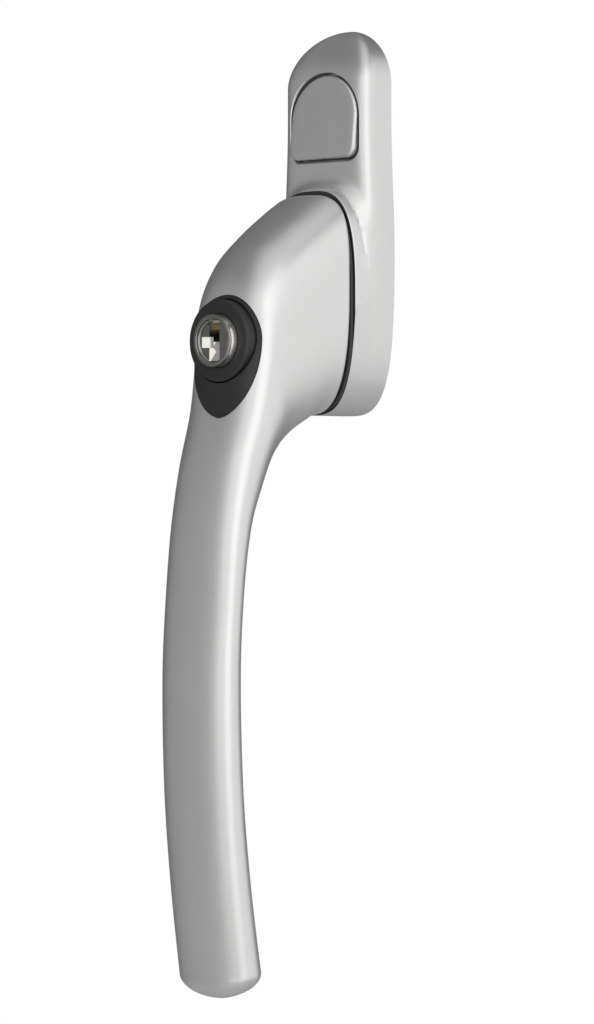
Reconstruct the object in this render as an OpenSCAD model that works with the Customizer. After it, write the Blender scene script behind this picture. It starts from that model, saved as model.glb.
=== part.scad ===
// Locking casement window handle with a square spindle, a screw-covered base plate and a push-button lock.
// Millimetres. X is right as seen from the room, -Y points into the room and +Z is up.
// The origin is on the spindle axis, in the plane that lies against the sash.

/* [Base plate] */
// Height of the base plate above the spindle axis
plate_top = 40.6; // [36:0.2:50]
// Height of the base plate below the spindle axis
plate_low = 32; // [31:0.2:38]
// Width of the base plate at its back
plate_w = 21.2; // [20.6:0.2:26]
// Depth of the base plate around the screw cover
plate_d = 7.2; // [6.4:0.1:9]
// Depth of the base plate at the boss that carries the lever
boss_d = 10.6; // [9.8:0.1:13]
// Width of the boss and of the foot of the neck
boss_w = 22.6; // [21.6:0.2:27]
// Height of the boss and of the foot of the neck above the spindle axis
boss_top = 9.5; // [9:0.1:11.5]
// Thickness of the steel cover on the back of the base plate
back_t = 1.2; // [0.8:0.1:1.4]

/* [Lever] */
// Length of the lever from the spindle axis to its tip
lever_len = 139; // [115:1:167]
// Reach of the lever's crest in front of the mounting plane
lever_out = 43; // [42:0.5:52]
// Width of the lever
lever_w = 17.6; // [15:0.2:20]
// Thickness of the lever at its middle
lever_t = 7.5; // [6.2:0.1:9]
// Reach of the neck's face around the lock
face_out = 33.2; // [32.8:0.1:34]
// Running gap between the boss and the lever's wear plate
neck_gap = 0.2; // [0.15:0.05:0.4]
// Thickness of the wear plate
wear_t = 0.7; // [0.6:0.1:1]

/* [Spindle and bearing] */
// Side of the square spindle
spindle_side = 7; // [6:0.1:8]
// Reach of the spindle behind the mounting plane
spindle_out = 8; // [6:0.5:60]
// Radius of the lever's round stub
stub_r = 6.3; // [6.2:0.1:6.6]
// Wall of the nylon bush
bush_wall = 1.25; // [1:0.05:1.3]
// Radius of the detent balls
ball_r = 1.5; // [1.2:0.1:1.6]

/* [Fixing screws] */
// Distance between the two fixing screws, centred on the spindle
screw_centres = 43; // [42.4:0.2:45]
// Radius of the fixing screws' threaded end
screw_r = 2.5; // [2:0.1:2.6]
// Reach of the fixing screws behind the mounting plane
screw_out = 8; // [6:0.5:60]

/* [Screw cover] */
// Width of the screw cover
cover_w = 16.6; // [16:0.1:17.8]
// Height of the cover's lower edge above the spindle axis
cover_low = 16.2; // [15.9:0.1:16.4]
// Wall of the cover
cover_wall = 1.3; // [1:0.1:1.5]

/* [Lock] */
// Distance of the lock axis below the spindle axis
lock_drop = 18.6; // [18.2:0.1:19]
// Radius of the key plug
plug_r = 4.9; // [4.2:0.1:5]
// Radius of the push button's sliding body
button_r = 7; // [6.9:0.05:7.1]
// Radius of the push button's head
button_head_r = 7.6; // [7.4:0.05:7.7]
// Reach of the push button in front of the mounting plane
button_out = 35.5; // [35.2:0.1:36.4]
// How far the key plug stands out of the push button
plug_proud = 1.7; // [0.5:0.1:2]
// Travel of the push button
button_travel = 3.2; // [2.4:0.1:3.3]
// Radius of the lock bolt
bolt_r = 1.4; // [1.1:0.05:1.5]
// Radius of the round part of the lock surround
surround_r = 8.4; // [8.2:0.1:8.6]
// Distance of the surround's lower point below the lock axis
surround_low = 14.1; // [13:0.1:15]

/* [Hidden] */
$fn = 64;
fit = 0.02;       // between pieces that are pressed or seated together
run = 0.05;       // between a shaft and its bearing, on the radius
side = 0.1;       // between the faces of stacked moving pieces
slack = 0.2;      // around loose fits
past = 1;         // how far a cut runs past the face it opens

// Base plate
boss_low = -plate_low;
boss_mid = (boss_top + boss_low) / 2;
boss_half = (boss_top - boss_low) / 2;
boss_n = 3;       // squareness of the boss's outline
boss_edge = 0.13; // width of the boss's shoulder, as a part of its half height
nose_r = plate_w / 2;
nose_z = plate_top - nose_r;
nose_curve = 1.6; // how early the face falls away towards the upper end
plate_bow = 0.85; // outward bow of the sides behind the boss
plate_n = 7;      // squareness of the base plate's section
plate_mid = (plate_top - plate_low) / 2;
plate_half = (plate_top + plate_low) / 2;
rim_w = 1.3;      // wall of the base plate around the rear cover
plate_rings = 60;
plate_sides = 24;

// Stack of the bearing, from the boss back to the sash
neck_y = boss_d + neck_gap + wear_t;
stub_end = 1.8;
hub_wall = 2.6;   // thickness of the boss's front wall
hub_y = boss_d - hub_wall;
bush_r = stub_r + run + bush_wall;
flange_t = 0.8;
flange_r = bush_r + 0.8;
hub_r = flange_r + slack;
ring_y = hub_y - flange_t - side;
ring_t = 2.8;
ring_r = hub_r - 0.5;
notch_deep = 0.5;
washer_t = 0.5;
washer_y = ring_y - ring_t - side;
clip_y = washer_y - washer_t - side;
clip_t = 0.9;
groove_deep = 0.6;
detent_y = ring_y - ring_t / 2;
ball_z = ring_r + side + ball_r;
detent_end = 13.8;
socket_deep = 18; // how far the spindle's socket reaches into the neck
pin_r = 1.2;
pin_y = boss_d - 1.1;

// Fixing screws
screw_z = screw_centres / 2;
head_r = 1.84 * screw_r;
head_t = head_r - screw_r + 0.4;
cover_floor = 4;  // depth of the screw cover's recess floor
low_seat = boss_d - 1.4;
waist = 0.4;      // how much thinner the screws are where the base plate holds them captive

// Screw cover
cover_r = cover_w / 2;
cover_top_z = cover_low + 15.8;
cover_arch = cover_top_z - cover_r;
cover_corner = 2;
cover_proud = 1;
cover_gap = 0.45;
leg_x = 6.3;
leg_w = 5;
leg_t = 1.2;
leg_end = 1.7;

// Lock, measured from the lock axis and from the mounting plane
lock_z = -lock_drop;
floor_t = 3;      // neck's floor under the lock housing
floor_y = neck_y + floor_t;
sleeve_wall = 1.1;
sleeve_r = button_r + run + fit + sleeve_wall;
sleeve_front = 28.2;
sleeve_floor = 1.2;
pocket_y = 30.6;
surround_proud = 0.3; // how far the surround stands above the lever's face
surround_lean = 0.9;  // how far the surround's lower point lies to the right
drop_steps = 24;
head_edge = 0.4;  // chamfer round the button's head
button_back = 20.2;
cavity_y = 24.8;
cavity_r = button_r - 0.9;
base_t = 1.9;
base_y = button_back + side + base_t;
bolt_e = cavity_r - bolt_r - 0.4;
bolt_z = lock_z + bolt_e;
bolt_tip = neck_y + 0.5;
pawl_y = 24.1;
pawl_t = 1.1;
pawl_lift = 1.2;
cam_r = 3;
cam_slack = 0.25;
tongue_w = 2.4;
tongue_end = button_r + 0.9;
bar = 1;
plug_front = button_out + plug_proud;
head_back = sleeve_front + button_travel + slack;
dish_deep = 0.8;  // hollow in the plug's face
dish_wall = 0.9;
plug_back = pawl_y + side;
keyway_w = 2.6;
keyway_h = 7.6;
tail = 3;
wafers = 5;
wafer_t = 0.9;
wafer_w = 5;
wafer_h = 7.2;
wafer_step = 1.8;
first_wafer = 26.6;

// ---------- Shared shapes ----------

// A round bar along Y from one depth to another, depths counted from the mounting plane into the room
module rod(back, front, r, x = 0, z = 0) {
    translate([x, -back, z]) rotate([90, 0, 0]) cylinder(h = front - back, r = r);
}

// A cone along Y
module cone(back, front, r_back, r_front, z = 0) {
    translate([0, -back, z]) rotate([90, 0, 0]) cylinder(h = front - back, r1 = r_back, r2 = r_front);
}

// An outline drawn in X and Z, given its thickness between two depths
module slab(back, front, z = 0) {
    translate([0, -back, z]) rotate([90, 0, 0]) linear_extrude(height = front - back) children();
}

// A washer or sleeve along Y
module sleeve(back, front, r_in, r_out, z = 0) {
    slab(back, front, z) difference() {
        circle(r = r_out);
        circle(r = r_in);
    }
}

function power(v, p) = sign(v) * pow(abs(v), p);

// Smooth curve through a list of points, t counted in points
function curve(p, t) =
    let (
        i = min(floor(t), len(p) - 2),
        f = t - i,
        a = p[max(i - 1, 0)],
        b = p[i],
        c = p[i + 1],
        d = p[min(i + 2, len(p) - 1)]
    )
    b + f / 2 * (c - a + f * (2 * a - 5 * b + 4 * c - d + f * (3 * (b - c) + d - a)));

// Skin over a list of rings that all have as many points, closed at both ends
module loft(rings) {
    n = len(rings[0]);
    m = len(rings);
    points = [for (ring = rings) each ring];
    walls = [for (i = [0:m - 2], j = [0:n - 1], half = [0, 1])
        let (a = i * n + j, b = i * n + (j + 1) % n)
        half == 0 ? [a, b, b + n] : [a, b + n, a + n]];
    ends = [[for (j = [n - 1:-1:0]) j], [for (j = [0:n - 1]) (m - 1) * n + j]];
    polyhedron(points = points, faces = concat(walls, ends));
}

// Closed coil of round wire standing on the XY plane, its outer radius and length given
module coil(r, wire, length, turns, steps = 12, sides = 5) {
    mean = r - wire;
    rise = length - 2 * wire;
    loft([for (i = [0:turns * steps])
        let (a = 360 * i / steps, z = wire + rise * i / (turns * steps))
        [for (j = [0:sides - 1])
            let (b = -360 * j / sides, q = mean + wire * cos(b))
            [q * cos(a), q * sin(a), z + wire * sin(b)]]]);
}

// Outline of the boss and of the neck's foot, drawn in by an inset
module foot_outline(inset = 0) {
    steps = 60;
    w = boss_w / 2 - inset;
    h = boss_half - inset;
    translate([0, boss_mid]) polygon([for (i = [0:steps - 1])
        let (a = 360 * i / steps)
        [w * power(cos(a), 2 / boss_n), h * power(sin(a), 2 / boss_n)]]);
}

// Half width of the base plate's back at a height
function plate_side(z) =
    let (
        bow = plate_bow * pow(max(0, cos(90 * (z - boss_mid / 4) / 27)), 2),
        w = plate_w / 2 + bow
    )
    z > nose_z ? sqrt(max(0, nose_r * nose_r - (z - nose_z) * (z - nose_z)))
    : z < boss_mid ? w * pow(max(0, 1 - pow((boss_mid - z) / (boss_mid + plate_low), boss_n)), 1 / boss_n)
    : w;

// How much of the boss stands at a place: 1 on its face, 0 beyond its shoulder
function boss_share(x, z) =
    let (
        q = pow(pow(abs(x) / (boss_w / 2), boss_n) + pow(max(0, z - boss_mid) / boss_half, boss_n), 1 / boss_n),
        t = max(0, min(1, (1 + boss_edge - q) / boss_edge))
    )
    t * t * (3 - 2 * t);

// Outline of the base plate's back, drawn in by an inset
module plate_outline(inset) {
    w = plate_w / 2 - inset;
    translate([0, nose_z]) circle(r = nose_r - inset);
    translate([-w, boss_mid]) square([2 * w, nose_z - boss_mid]);
    intersection() {
        foot_outline(inset + max(0, (boss_w - plate_w) / 2));
        translate([-w, -plate_low]) square([2 * w, boss_mid + plate_low + past]);
    }
}

// Outline of the screw cover: round at the top, with small corners below
module cover_outline(inset) {
    r = cover_corner - inset;
    w = cover_r - inset;
    low = cover_low + inset;
    intersection() {
        translate([0, cover_arch]) circle(r = w);
        translate([-w, cover_arch]) square([2 * w, w]);
    }
    translate([-w, low + r]) square([2 * w, cover_arch - low - r]);
    translate([-w + r, low]) square([2 * (w - r), r]);
    for (x = [-1, 1]) translate([x * (w - r), low + r]) circle(r = r);
}

// Outline of the lock surround: a half circle above, drawn out to a point below
module drop_outline(grow) {
    r = surround_r + grow;
    down = surround_low + grow;
    polygon(concat(
        [for (i = [0:drop_steps]) let (a = 180 * i / drop_steps) r * [cos(a), sin(a)]],
        [for (i = [1:2 * drop_steps - 1])
            let (v = sin(180 * i / (2 * drop_steps)))
            [(i < drop_steps ? -r : r) * pow(1 - pow(v, 2.4), 0.6) + surround_lean * v * v, -down * v]]));
}

// ---------- Base plate and what is fixed to it ----------

module plate_body() {
    loft([for (i = [0:plate_rings])
        let (
            z = plate_mid + plate_half * sin(-87.5 + 175 * i / plate_rings),
            w = plate_side(z),
            nose = pow(max(0, 1 - pow(max(0, (z - nose_z) / nose_r), nose_curve)), 1 / nose_curve)
        )
        [for (j = [0:plate_sides])
            let (
                a = 180 * j / plate_sides,
                n = plate_n * (1 + boss_share(0, z)),
                x = w * power(cos(a), 2 / n)
            )
            [x, -nose * pow(sin(a), 2 / n) * (plate_d + (boss_d - plate_d) * boss_share(x, z)), z]]]);
}

module screw_hole(seat, z) {
    rod(-past, seat, screw_r + side, z = z);
    cone(seat - head_t, seat + 0.01, screw_r + side, head_r + side, z = z);
}

module base_plate() color([0.66, 0.66, 0.66]) difference() {
    plate_body();
    slab(-past, back_t) plate_outline(rim_w);
    rod(0, hub_y, hub_r);
    rod(0, boss_d + past, bush_r + fit);
    for (s = [-1, 1]) translate([0, -detent_y, s * (hub_r - ball_r)])
        mirror([0, 0, s > 0 ? 0 : 1]) cylinder(h = detent_end - hub_r + ball_r, r = ball_r + side);
    screw_hole(cover_floor, screw_z);
    screw_hole(low_seat, -screw_z);
    rod(low_seat, boss_d + past, head_r + slack, z = -screw_z);
    slab(cover_floor, boss_d + past) cover_outline(-cover_gap);
    for (s = [-1, 1]) translate([s * (leg_x + leg_t / 2), -cover_floor / 2, cover_arch])
        cube([leg_t + 2 * slack, cover_floor + past, leg_w + 2 * slack], center = true);
    slab(hub_y + 1.4 - fit, boss_d + past) translate([0, bolt_z]) strike_outline(fit);
    rod(hub_y + 0.4, boss_d, bolt_r + side, z = bolt_z);
    for (s = [-1, 1]) rod(hub_y + 0.4, boss_d, rivet_r + fit, s * rivet_x, bolt_z);
    for (z = cover_screw_z) rod(0, back_t + 3.2, 1.25, z = z);
}

cover_screw_z = [plate_top - 4.6, 4.2 - plate_low];

module rear_cover() color([0.55, 0.56, 0.58]) difference() {
    slab(0, back_t - fit) plate_outline(rim_w + side);
    rod(-past, back_t + past, spindle_side * 0.75 + 0.6);
    for (s = [-1, 1]) rod(-past, back_t + past, screw_r + slack, z = s * screw_z);
    for (z = cover_screw_z) cone(-0.01, back_t, 2.3, 1.3, z);
}

module cover_screws() color([0.7, 0.7, 0.72]) for (z = cover_screw_z) {
    cone(0.05, back_t, 2.2, 1.2, z);
    rod(back_t, back_t + 3, 1.2, z = z);
}

module hub_bush() color([0.9, 0.9, 0.86]) {
    sleeve(hub_y - flange_t, hub_y, stub_r + run, flange_r);
    sleeve(hub_y, boss_d - side, stub_r + run, bush_r);
}

rivet_r = 0.7;
rivet_x = 3.4;

module strike_outline(grow) {
    square([2 * rivet_x + 2.6 + 2 * grow, 2 * bolt_r + 1.2 + 2 * grow], center = true);
}

module strike_plate() color([0.5, 0.5, 0.52]) difference() {
    slab(hub_y + 1.4, boss_d - side) translate([0, bolt_z]) strike_outline(0);
    rod(hub_y, boss_d, bolt_r + side, z = bolt_z);
    for (s = [-1, 1]) rod(hub_y, boss_d, rivet_r + fit, s * rivet_x, bolt_z);
}

module strike_rivets() color([0.6, 0.6, 0.62]) for (s = [-1, 1])
    rod(hub_y + 0.5, boss_d - side, rivet_r, s * rivet_x, bolt_z);

module detent_balls() color([0.75, 0.75, 0.78]) for (s = [-1, 1])
    translate([0, -detent_y, s * ball_z]) sphere(r = ball_r);

module detent_springs() color([0.5, 0.5, 0.52]) for (s = [-1, 1])
    mirror([0, 0, s > 0 ? 0 : 1]) translate([0, -detent_y, ball_z + ball_r + side])
        coil(ball_r - slack, 0.22, detent_end - ball_z - ball_r - 2 * side, 3);

module screw_shape(seat, z) {
    difference() {
        union() {
            cone(seat - head_t, seat - side, screw_r - waist, head_r - side / 2, z);
            rod(-fit, seat - head_t + fit, screw_r - waist, z = z);
            rod(-screw_out, 0, screw_r, z = z);
        }
        translate([0, -seat, z]) for (turn = [0, 90]) rotate([0, turn, 0])
            cube([0.9, 2 * (head_t - 0.9), 4.6], center = true);
    }
}

module fixing_screws() color([0.62, 0.62, 0.64]) {
    screw_shape(cover_floor, screw_z);
    screw_shape(low_seat, -screw_z);
}

// ---------- Screw cover ----------

module screw_cover() color([0.68, 0.68, 0.68]) {
    difference() {
        slab(cover_floor + side, plate_d + cover_proud + past) cover_outline(0);
        slab(cover_floor, plate_d - cover_wall) cover_outline(cover_wall);
        translate([0, -plate_d - cover_proud, cover_low]) rotate([-atan(1.6 / (cover_top_z - cover_low)), 0, 0])
            translate([-plate_w, -10, -10]) cube([2 * plate_w, 10, 60]);
    }
    for (s = [-1, 1]) translate([s * (leg_x + leg_t / 2), -(leg_end + plate_d - cover_wall / 2) / 2, cover_arch])
        cube([leg_t, plate_d - cover_wall / 2 - leg_end, leg_w], center = true);
}

// ---------- Lever and what turns with it ----------

// Stations of the lever: depth and height of the front line, depth and height of the back line,
// half width and squareness. They run from the neck's foot to the tip.
neck_half = boss_w / 2;
lever_half = lever_w / 2;
back_out = lever_out - lever_t;
stations = [
    [neck_y, boss_top, neck_y, boss_low, neck_half, boss_n],
    [neck_y + 4.7, boss_top - 2.8, neck_y + 2.7, boss_low - 0.4, neck_half - 0.2, boss_n],
    [neck_y + 11.2, boss_top - 7.1, neck_y + 5.2, boss_low - 1.7, neck_half - 0.5, 2.9],
    [neck_y + 17.4, boss_top - 12.3, neck_y + 7.7, boss_low - 3.1, neck_half - 0.9, 2.8],
    [face_out - 0.2, lock_z + 8.7, neck_y + 10.2, boss_low - 4.7, neck_half - 1.3, 2.8],
    [face_out + 0.8, lock_z - 1.2, neck_y + 12.9, boss_low - 6.8, lever_half + 0.9, 2.7],
    [face_out + 2.3, lock_z - 11.3, neck_y + 15.7, boss_low - 10.1, lever_half + 0.5, 2.6],
    [lever_out - 4.4, lock_z - 21.9, back_out - 5.8, boss_low - 14.6, lever_half + 0.2, 2.6],
    [lever_out - 2.2, lock_z - 33.4, back_out - 2.9, lock_z - 34.8, lever_half, 2.6],
    [lever_out - 0.9, -0.47 * lever_len, back_out - 0.8, -0.47 * lever_len, lever_half, 2.6],
    [lever_out, -0.58 * lever_len, back_out, -0.58 * lever_len, lever_half, 2.6],
    [lever_out - 0.4, -0.725 * lever_len, back_out - 0.8, -0.725 * lever_len, lever_half, 2.6],
    [lever_out - 2, -0.855 * lever_len, back_out - 2.9, -0.85 * lever_len, lever_half, 2.6],
    [lever_out - 4.2, 4 - lever_len, back_out - 5.7, 5 - lever_len, lever_half, 2.6]];
lever_rings = 34;
lever_sides = 30;
ridge = 0.2; // how far the lever's widest line lies in front of its middle

function lever_ring(s, w, h, drop) = [for (j = [0:lever_sides - 1])
    let (
        a = -360 * j / lever_sides,
        up = power(sin(a), 2 / s[5]),
        k = h * (up + ridge * (1 - up * up)) / 2
    )
    [
        w * s[4] * power(cos(a), 2 / s[5]),
        -((s[0] + s[2]) / 2 + k * (s[0] - s[2])),
        (s[1] + s[3]) / 2 + k * (s[1] - s[3]) - drop
    ]];

module lever_body() {
    last = len(stations) - 1;
    tip = 4.5;
    loft(concat(
        [for (i = [0:lever_rings]) lever_ring(curve(stations, i * last / lever_rings), 1, 1, 0)],
        [for (q = [0.25, 0.5, 0.7, 0.85, 0.95, 1])
            lever_ring(stations[last], pow(1.01 - pow(q, 1.8), 0.6), pow(1.01 - pow(q, 2.5), 0.5), tip * q)]));
}

module handle_lever() color([0.68, 0.68, 0.68]) difference() {
    union() {
        lever_body();
        rod(stub_end, neck_y + 1, stub_r);
    }
    translate([0, -(stub_end + socket_deep) / 2 + past / 2, 0])
        cube([spindle_side + side, socket_deep - stub_end + past, spindle_side + side], center = true);
    sleeve(clip_y - clip_t - fit, clip_y + fit, stub_r - groove_deep, stub_r + past);
    translate([-stub_r - past, -pin_y, 0]) rotate([0, 90, 0]) cylinder(h = 2 * (stub_r + past), r = pin_r + fit);
    rod(floor_y, lever_out + past, sleeve_r + fit, z = lock_z);
    slab(pocket_y, lever_out, lock_z) drop_outline(side);
    rod(neck_y - past, floor_y + past, bolt_r + slack, z = bolt_z);
    rod(neck_y - past, floor_y + past, housing_screw_r + side, z = housing_screw_z);
    rod(neck_y - past, neck_y + 1.4, 2 * housing_screw_r, z = housing_screw_z);
}

housing_screw_r = 1.2;
housing_screw_z = lock_z - 4.6;

module wear_plate() color([0.08, 0.08, 0.08]) difference() {
    slab(boss_d + neck_gap, neck_y) foot_outline(0.4);
    rod(0, neck_y + past, stub_r + side);
    rod(0, neck_y + past, bolt_r + slack, z = bolt_z);
    rod(0, neck_y + past, 2 * housing_screw_r, z = housing_screw_z);
}

module index_ring() color([0.6, 0.6, 0.62]) slab(ring_y - ring_t, ring_y) difference() {
    circle(r = ring_r);
    circle(r = stub_r + fit);
    for (a = [0:90:270]) rotate(a) translate([ring_r - notch_deep + ball_r, 0]) circle(r = ball_r);
}

module thrust_washer() color([0.72, 0.72, 0.74])
    sleeve(washer_y - washer_t, washer_y, stub_r + fit, ring_r - side);

module retaining_circlip() color([0.4, 0.4, 0.42])
    translate([0, -clip_y, 0]) rotate([-90, 0, 0]) rotate([0, 0, 120])
        rotate_extrude(angle = 300) translate([stub_r - groove_deep + fit, 0]) square([1.7, clip_t]);

module spindle() color([0.6, 0.61, 0.63]) difference() {
    translate([0, (spindle_out - socket_deep + side) / 2, 0])
        cube([spindle_side, spindle_out + socket_deep - side, spindle_side], center = true);
    translate([-spindle_side, -pin_y, 0]) rotate([0, 90, 0]) cylinder(h = 2 * spindle_side, r = pin_r + fit);
}

module spindle_pin() color([0.5, 0.5, 0.52])
    translate([side - stub_r, -pin_y, 0]) rotate([0, 90, 0]) cylinder(h = 2 * (stub_r - side), r = pin_r);

// ---------- Lock ----------

module lock_housing() color([0.5, 0.5, 0.5]) difference() {
    rod(floor_y + fit, sleeve_front, sleeve_r, z = lock_z);
    rod(floor_y + sleeve_floor, sleeve_front + past, button_r + run + fit, z = lock_z);
    rod(floor_y - past, floor_y + sleeve_floor + past, bolt_r + side, z = bolt_z);
    rod(floor_y - past, floor_y + sleeve_floor + past, housing_screw_r - fit, z = housing_screw_z);
    translate([-tongue_w / 2 - slack, -pawl_y - slack, lock_z - sleeve_r - past])
        cube([tongue_w + 2 * slack, pawl_t + button_travel + 2 * slack, sleeve_r]);
}

module housing_screw() color([0.6, 0.6, 0.62]) {
    rod(neck_y + 0.2, neck_y + 1.4, 2 * housing_screw_r - side, z = housing_screw_z);
    rod(neck_y + 1.4, floor_y + sleeve_floor - fit, housing_screw_r - 2 * fit, z = housing_screw_z);
}

module lock_escutcheon() color([0.1, 0.1, 0.1]) difference() {
    intersection() {
        slab(pocket_y + fit, lever_out, lock_z) drop_outline(0);
        translate([0, -surround_proud, 0]) lever_body();
    }
    rod(pocket_y - past, lever_out, button_head_r + slack, z = lock_z);
}

module push_button() color([0.07, 0.07, 0.07]) difference() {
    union() {
        rod(button_back, button_out - head_edge, button_r, z = lock_z);
        rod(head_back, button_out - head_edge, button_head_r, z = lock_z);
        cone(button_out - head_edge, button_out, button_head_r, button_head_r - head_edge, lock_z);
    }
    rod(cavity_y - past, button_out + past, plug_r + run, z = lock_z);
    rod(button_back - past, cavity_y, cavity_r, z = lock_z);
    translate([-tongue_w / 2 - side, -pawl_y - side, lock_z - button_r - past])
        cube([tongue_w + 2 * side, pawl_t + 2 * side, button_r]);
}

module button_base() color([0.35, 0.35, 0.36]) difference() {
    rod(button_back + side, base_y, cavity_r - fit, z = lock_z);
    rod(button_back, button_back + 1.3 + side, 2.7, z = lock_z);
    rod(button_back, base_y + past, bolt_r + fit, z = bolt_z);
}

module lock_bolt() color([0.7, 0.7, 0.72]) {
    rod(bolt_tip + 0.4, base_y - side, bolt_r, z = bolt_z);
    cone(bolt_tip, bolt_tip + 0.4, bolt_r - 0.4, bolt_r, bolt_z);
}

module button_spring() color([0.55, 0.55, 0.57])
    translate([0, -floor_y - sleeve_floor - side, lock_z]) rotate([90, 0, 0])
        coil(2.4, 0.25, button_back + 1.3 - floor_y - sleeve_floor - side, 5);

// Height of the keyway's middle stays on the lock axis
module key_plug() color([0.78, 0.78, 0.76]) difference() {
    union() {
        rod(plug_back, plug_front, plug_r, z = lock_z);
        translate([0, -plug_back + 0.7, lock_z]) cube([tail, 1.6, tail], center = true);
    }
    sleeve(cavity_y - 0.45, cavity_y - fit, plug_r - 0.6, plug_r + past, lock_z);
    rod(plug_front - dish_deep, plug_front + past, plug_r - dish_wall, z = lock_z);
    translate([-keyway_w / 2, -plug_front - past, lock_z - keyway_h / 2])
        cube([keyway_w, plug_front - first_wafer + past + 1, keyway_h]);
    for (i = [0:wafers - 1]) translate([0, -first_wafer - i * wafer_step, lock_z]) {
        translate([-wafer_w / 2 - side / 2, -wafer_t - side, -wafer_h / 2 - side / 2])
            cube([wafer_w + side, wafer_t + side, wafer_h + side]);
        translate([0, -wafer_t - side, -1.5]) cube([wafer_w / 2 + 1.5, wafer_t + side, 3.8]);
    }
}

module plug_wafers() color([0.75, 0.62, 0.3]) for (i = [0:wafers - 1])
    translate([0, -first_wafer - i * wafer_step - side / 2, lock_z]) rotate([90, 0, 0])
        linear_extrude(height = wafer_t) difference() {
            union() {
                square([wafer_w, wafer_h], center = true);
                translate([0, 1.2]) square([wafer_w / 2 + 1.3, 0.9]);
            }
            translate([0, (i % 3 - 1) * 0.4]) square([keyway_w + slack, 4], center = true);
        }

module wafer_springs() color([0.7, 0.66, 0.5]) for (i = [0:wafers - 1])
    translate([wafer_w / 2 + 0.75, -first_wafer - i * wafer_step - side / 2 - wafer_t / 2, lock_z - 1.45])
        coil(0.42, 0.1, 2.6, 3, 8, 4);

module plug_cam() color([0.6, 0.6, 0.6]) slab(pawl_y - pawl_t - side, pawl_y + fit, lock_z) difference() {
    polygon(concat(
        [for (a = [90:10:180]) (cam_r + pawl_lift * (a - 90) / 90) * [cos(a), sin(a)]],
        [for (a = [190:10:440]) cam_r * [cos(a), sin(a)]]));
    square(tail + 2 * fit, center = true);
}

module plug_clip() color([0.4, 0.4, 0.42])
    translate([0, -cavity_y + 2 * fit, lock_z]) rotate([-90, 0, 0]) rotate([0, 0, 120])
        rotate_extrude(angle = 300) translate([plug_r - 0.6 + fit, 0]) square([1.3, 0.36]);

module locking_pawl() color([0.6, 0.58, 0.5]) slab(pawl_y - pawl_t, pawl_y, lock_z) {
    window_top = cam_r + cam_slack;
    window_low = cam_r + pawl_lift + 2 * cam_slack;
    window_w = cam_r + pawl_lift + 0.3;
    half_window = [
        [window_w - 1.2, window_top], [window_w, 1], [window_w, -1.5], [window_w - 1.9, -window_low]];
    difference() {
        intersection() {
            circle(r = cavity_r - side);
            translate([0, -pawl_lift]) circle(r = cavity_r - side);
            translate([-cavity_r, -window_low - bar]) square([2 * cavity_r, window_low + window_top + 2 * bar]);
        }
        polygon(concat(half_window, [for (i = [3:-1:0]) [-half_window[i][0], half_window[i][1]]]));
    }
    translate([-tongue_w / 2, -tongue_end]) square([tongue_w, tongue_end - window_low]);
}

module pawl_spring() color([0.55, 0.55, 0.57])
    translate([0, -pawl_y + pawl_t / 2, lock_z + cam_r + cam_slack + bar + 0.05])
        coil(0.5, 0.12, cavity_r - cam_r - cam_slack - bar - 0.15, 3, 8, 4);

base_plate();
rear_cover();
cover_screws();
hub_bush();
strike_plate();
strike_rivets();
detent_balls();
detent_springs();
fixing_screws();
screw_cover();
handle_lever();
wear_plate();
index_ring();
thrust_washer();
retaining_circlip();
spindle();
spindle_pin();
lock_housing();
housing_screw();
lock_escutcheon();
push_button();
button_base();
lock_bolt();
button_spring();
key_plug();
plug_wafers();
wafer_springs();
plug_cam();
plug_clip();
locking_pawl();
pawl_spring();
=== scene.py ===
import math

import bmesh
import bpy
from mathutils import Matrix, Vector


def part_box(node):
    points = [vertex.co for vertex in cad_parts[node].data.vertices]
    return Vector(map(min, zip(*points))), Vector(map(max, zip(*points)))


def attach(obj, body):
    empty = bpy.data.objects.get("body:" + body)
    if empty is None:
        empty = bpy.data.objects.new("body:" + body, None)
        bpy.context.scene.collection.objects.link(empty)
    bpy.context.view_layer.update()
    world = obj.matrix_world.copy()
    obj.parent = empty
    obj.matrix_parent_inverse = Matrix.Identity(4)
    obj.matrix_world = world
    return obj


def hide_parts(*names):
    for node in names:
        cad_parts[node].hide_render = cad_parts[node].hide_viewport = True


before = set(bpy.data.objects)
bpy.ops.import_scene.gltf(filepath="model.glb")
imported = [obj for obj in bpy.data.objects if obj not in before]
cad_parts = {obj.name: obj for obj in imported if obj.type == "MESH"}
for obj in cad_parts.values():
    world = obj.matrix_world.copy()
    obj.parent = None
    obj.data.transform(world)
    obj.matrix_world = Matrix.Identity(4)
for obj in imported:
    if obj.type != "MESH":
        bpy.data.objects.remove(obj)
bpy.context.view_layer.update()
mm = 0.001
past = 1 * mm

# Base plate: one zinc die casting, slim and round above, with the raised boss that carries the lever.
# It is hollow behind for the steel cover, bored for two screws, for the lever's stub and for the lock
# bolt, and polished and plated satin. The boss's face under the lever is painted near black, as painted
# shade for the crevice round the neck's foot.


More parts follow.
